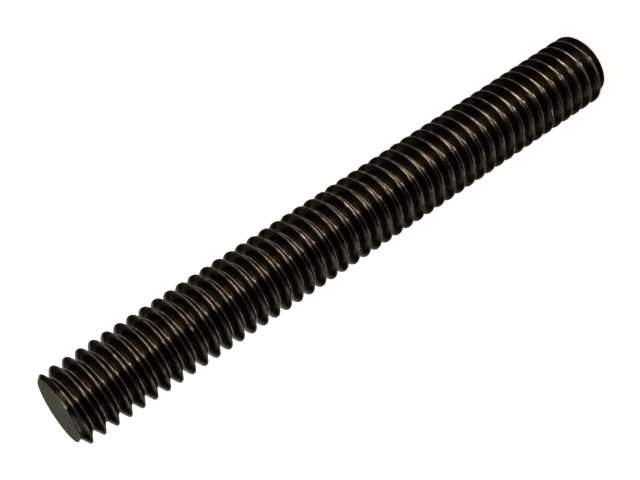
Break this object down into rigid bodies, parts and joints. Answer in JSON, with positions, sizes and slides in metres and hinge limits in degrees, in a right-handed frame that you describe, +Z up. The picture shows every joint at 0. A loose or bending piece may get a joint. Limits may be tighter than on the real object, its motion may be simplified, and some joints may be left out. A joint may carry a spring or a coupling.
{
  "type": "stud bolt",
  "caption": "Straight headless steel stud threaded from end to end, with a chamfer at both ends, that takes a nut or a tapped hole at either end.",
  "frame": {"origin": "middle of the lower end face, on the thread's axis", "axes": "+Z up along the thread's axis; the stud stands on its lower end; X and Y are free about the axis"},
  "size_m": [0.0078, 0.0078, 0.0667],
  "materials": {
    "black_steel": "oiled black oxide, worn on the crests"
  },
  "bodies": {
    "root": {"stud": "black_steel"}
  },
  "joints": []
}
